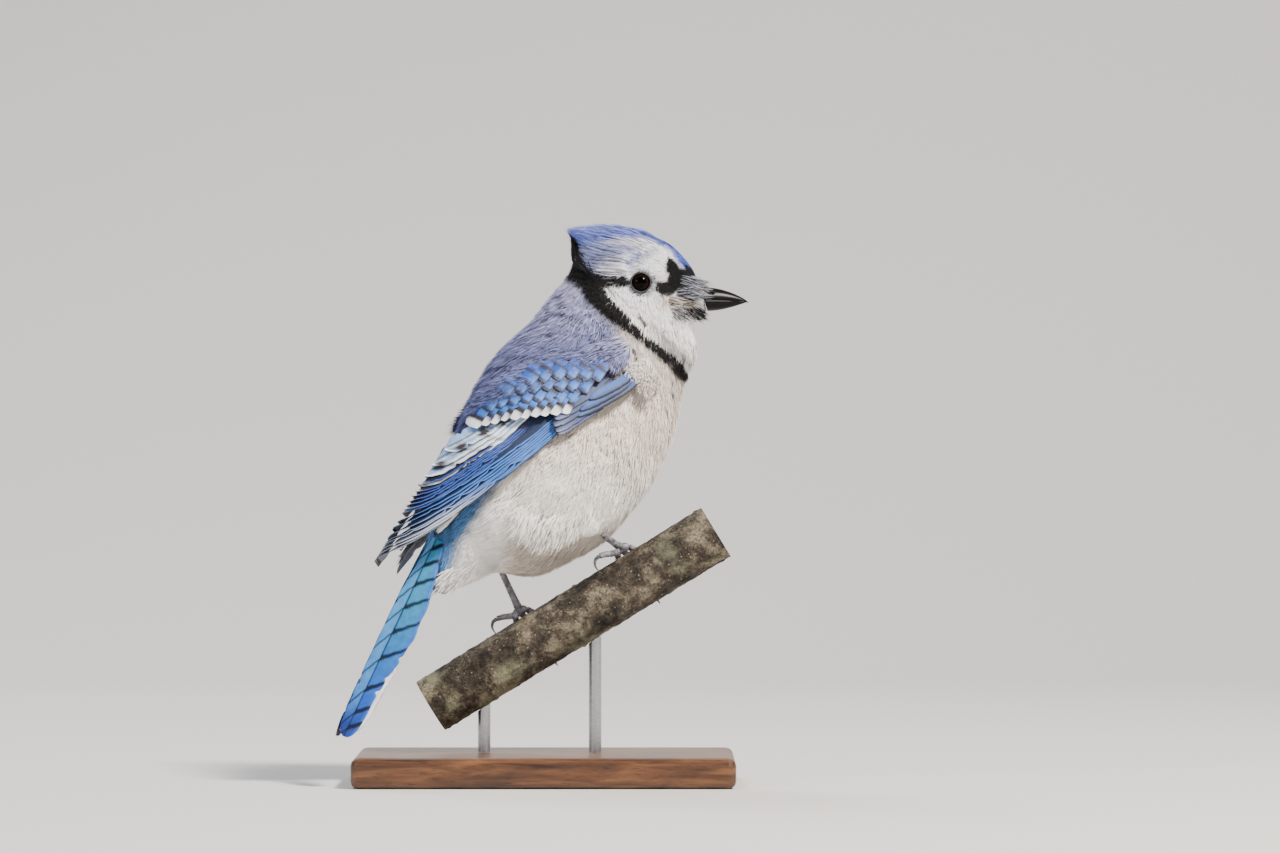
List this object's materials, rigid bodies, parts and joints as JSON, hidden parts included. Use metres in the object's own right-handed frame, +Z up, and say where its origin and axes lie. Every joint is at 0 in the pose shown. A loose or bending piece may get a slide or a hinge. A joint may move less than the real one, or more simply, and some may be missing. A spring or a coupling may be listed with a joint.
{
  "type": "blue jay",
  "caption": "Still, life-size blue jay gripping a cut length of branch, on a plain stand with a flat base and rods.",
  "frame": {"origin": "centre of the display stand's underside", "axes": "+Z up, +X the way the bill points, -Y the bird's right side"},
  "size_m": [0.1617, 0.1, 0.2188],
  "materials": {
    "head_feathers": "short soft feathers, blue crest, white face, black collar",
    "mantle_feathers": "soft grey lavender feathers",
    "body_feathers": "soft off-white feathers",
    "wing_feathers": "smooth blue vanes with black bars and white tips",
    "tail_feathers": "smooth blue vanes with black bars and white corners",
    "bill": "black horn with a low sheen",
    "claw": "black horn",
    "eye": "wet dark brown eye",
    "leg_scales": "dark grey scaled skin",
    "bark": "rough grey brown bark with lichen",
    "walnut": "planed and oiled walnut",
    "rod_steel": "brushed rod"
  },
  "bodies": {
    "root": {"bill_lower": "bill", "bill_upper": "bill", "eye_left": "eye", "eye_right": "eye", "head": "head_feathers", "neck": "mantle_feathers", "torso": "body_feathers", "vent": "body_feathers", "tail": "tail_feathers", "wing_left": "wing_feathers", "wing_right": "wing_feathers", "thigh_left": "body_feathers", "thigh_right": "body_feathers", "leg_left": "leg_scales", "leg_right": "leg_scales", "toe_left_hind": "leg_scales", "claw_left_hind": "claw", "toe_left_inner": "leg_scales", "claw_left_inner": "claw", "toe_left_middle": "leg_scales", "claw_left_middle": "claw", "toe_left_outer": "leg_scales", "claw_left_outer": "claw", "toe_right_hind": "leg_scales", "claw_right_hind": "claw", "toe_right_inner": "leg_scales", "claw_right_inner": "claw", "toe_right_middle": "leg_scales", "claw_right_middle": "claw", "toe_right_outer": "leg_scales", "claw_right_outer": "claw", "perch_branch": "bark", "stand_base": "walnut", "stand_rod_front": "rod_steel", "stand_rod_rear": "rod_steel"}
  },
  "joints": []
}
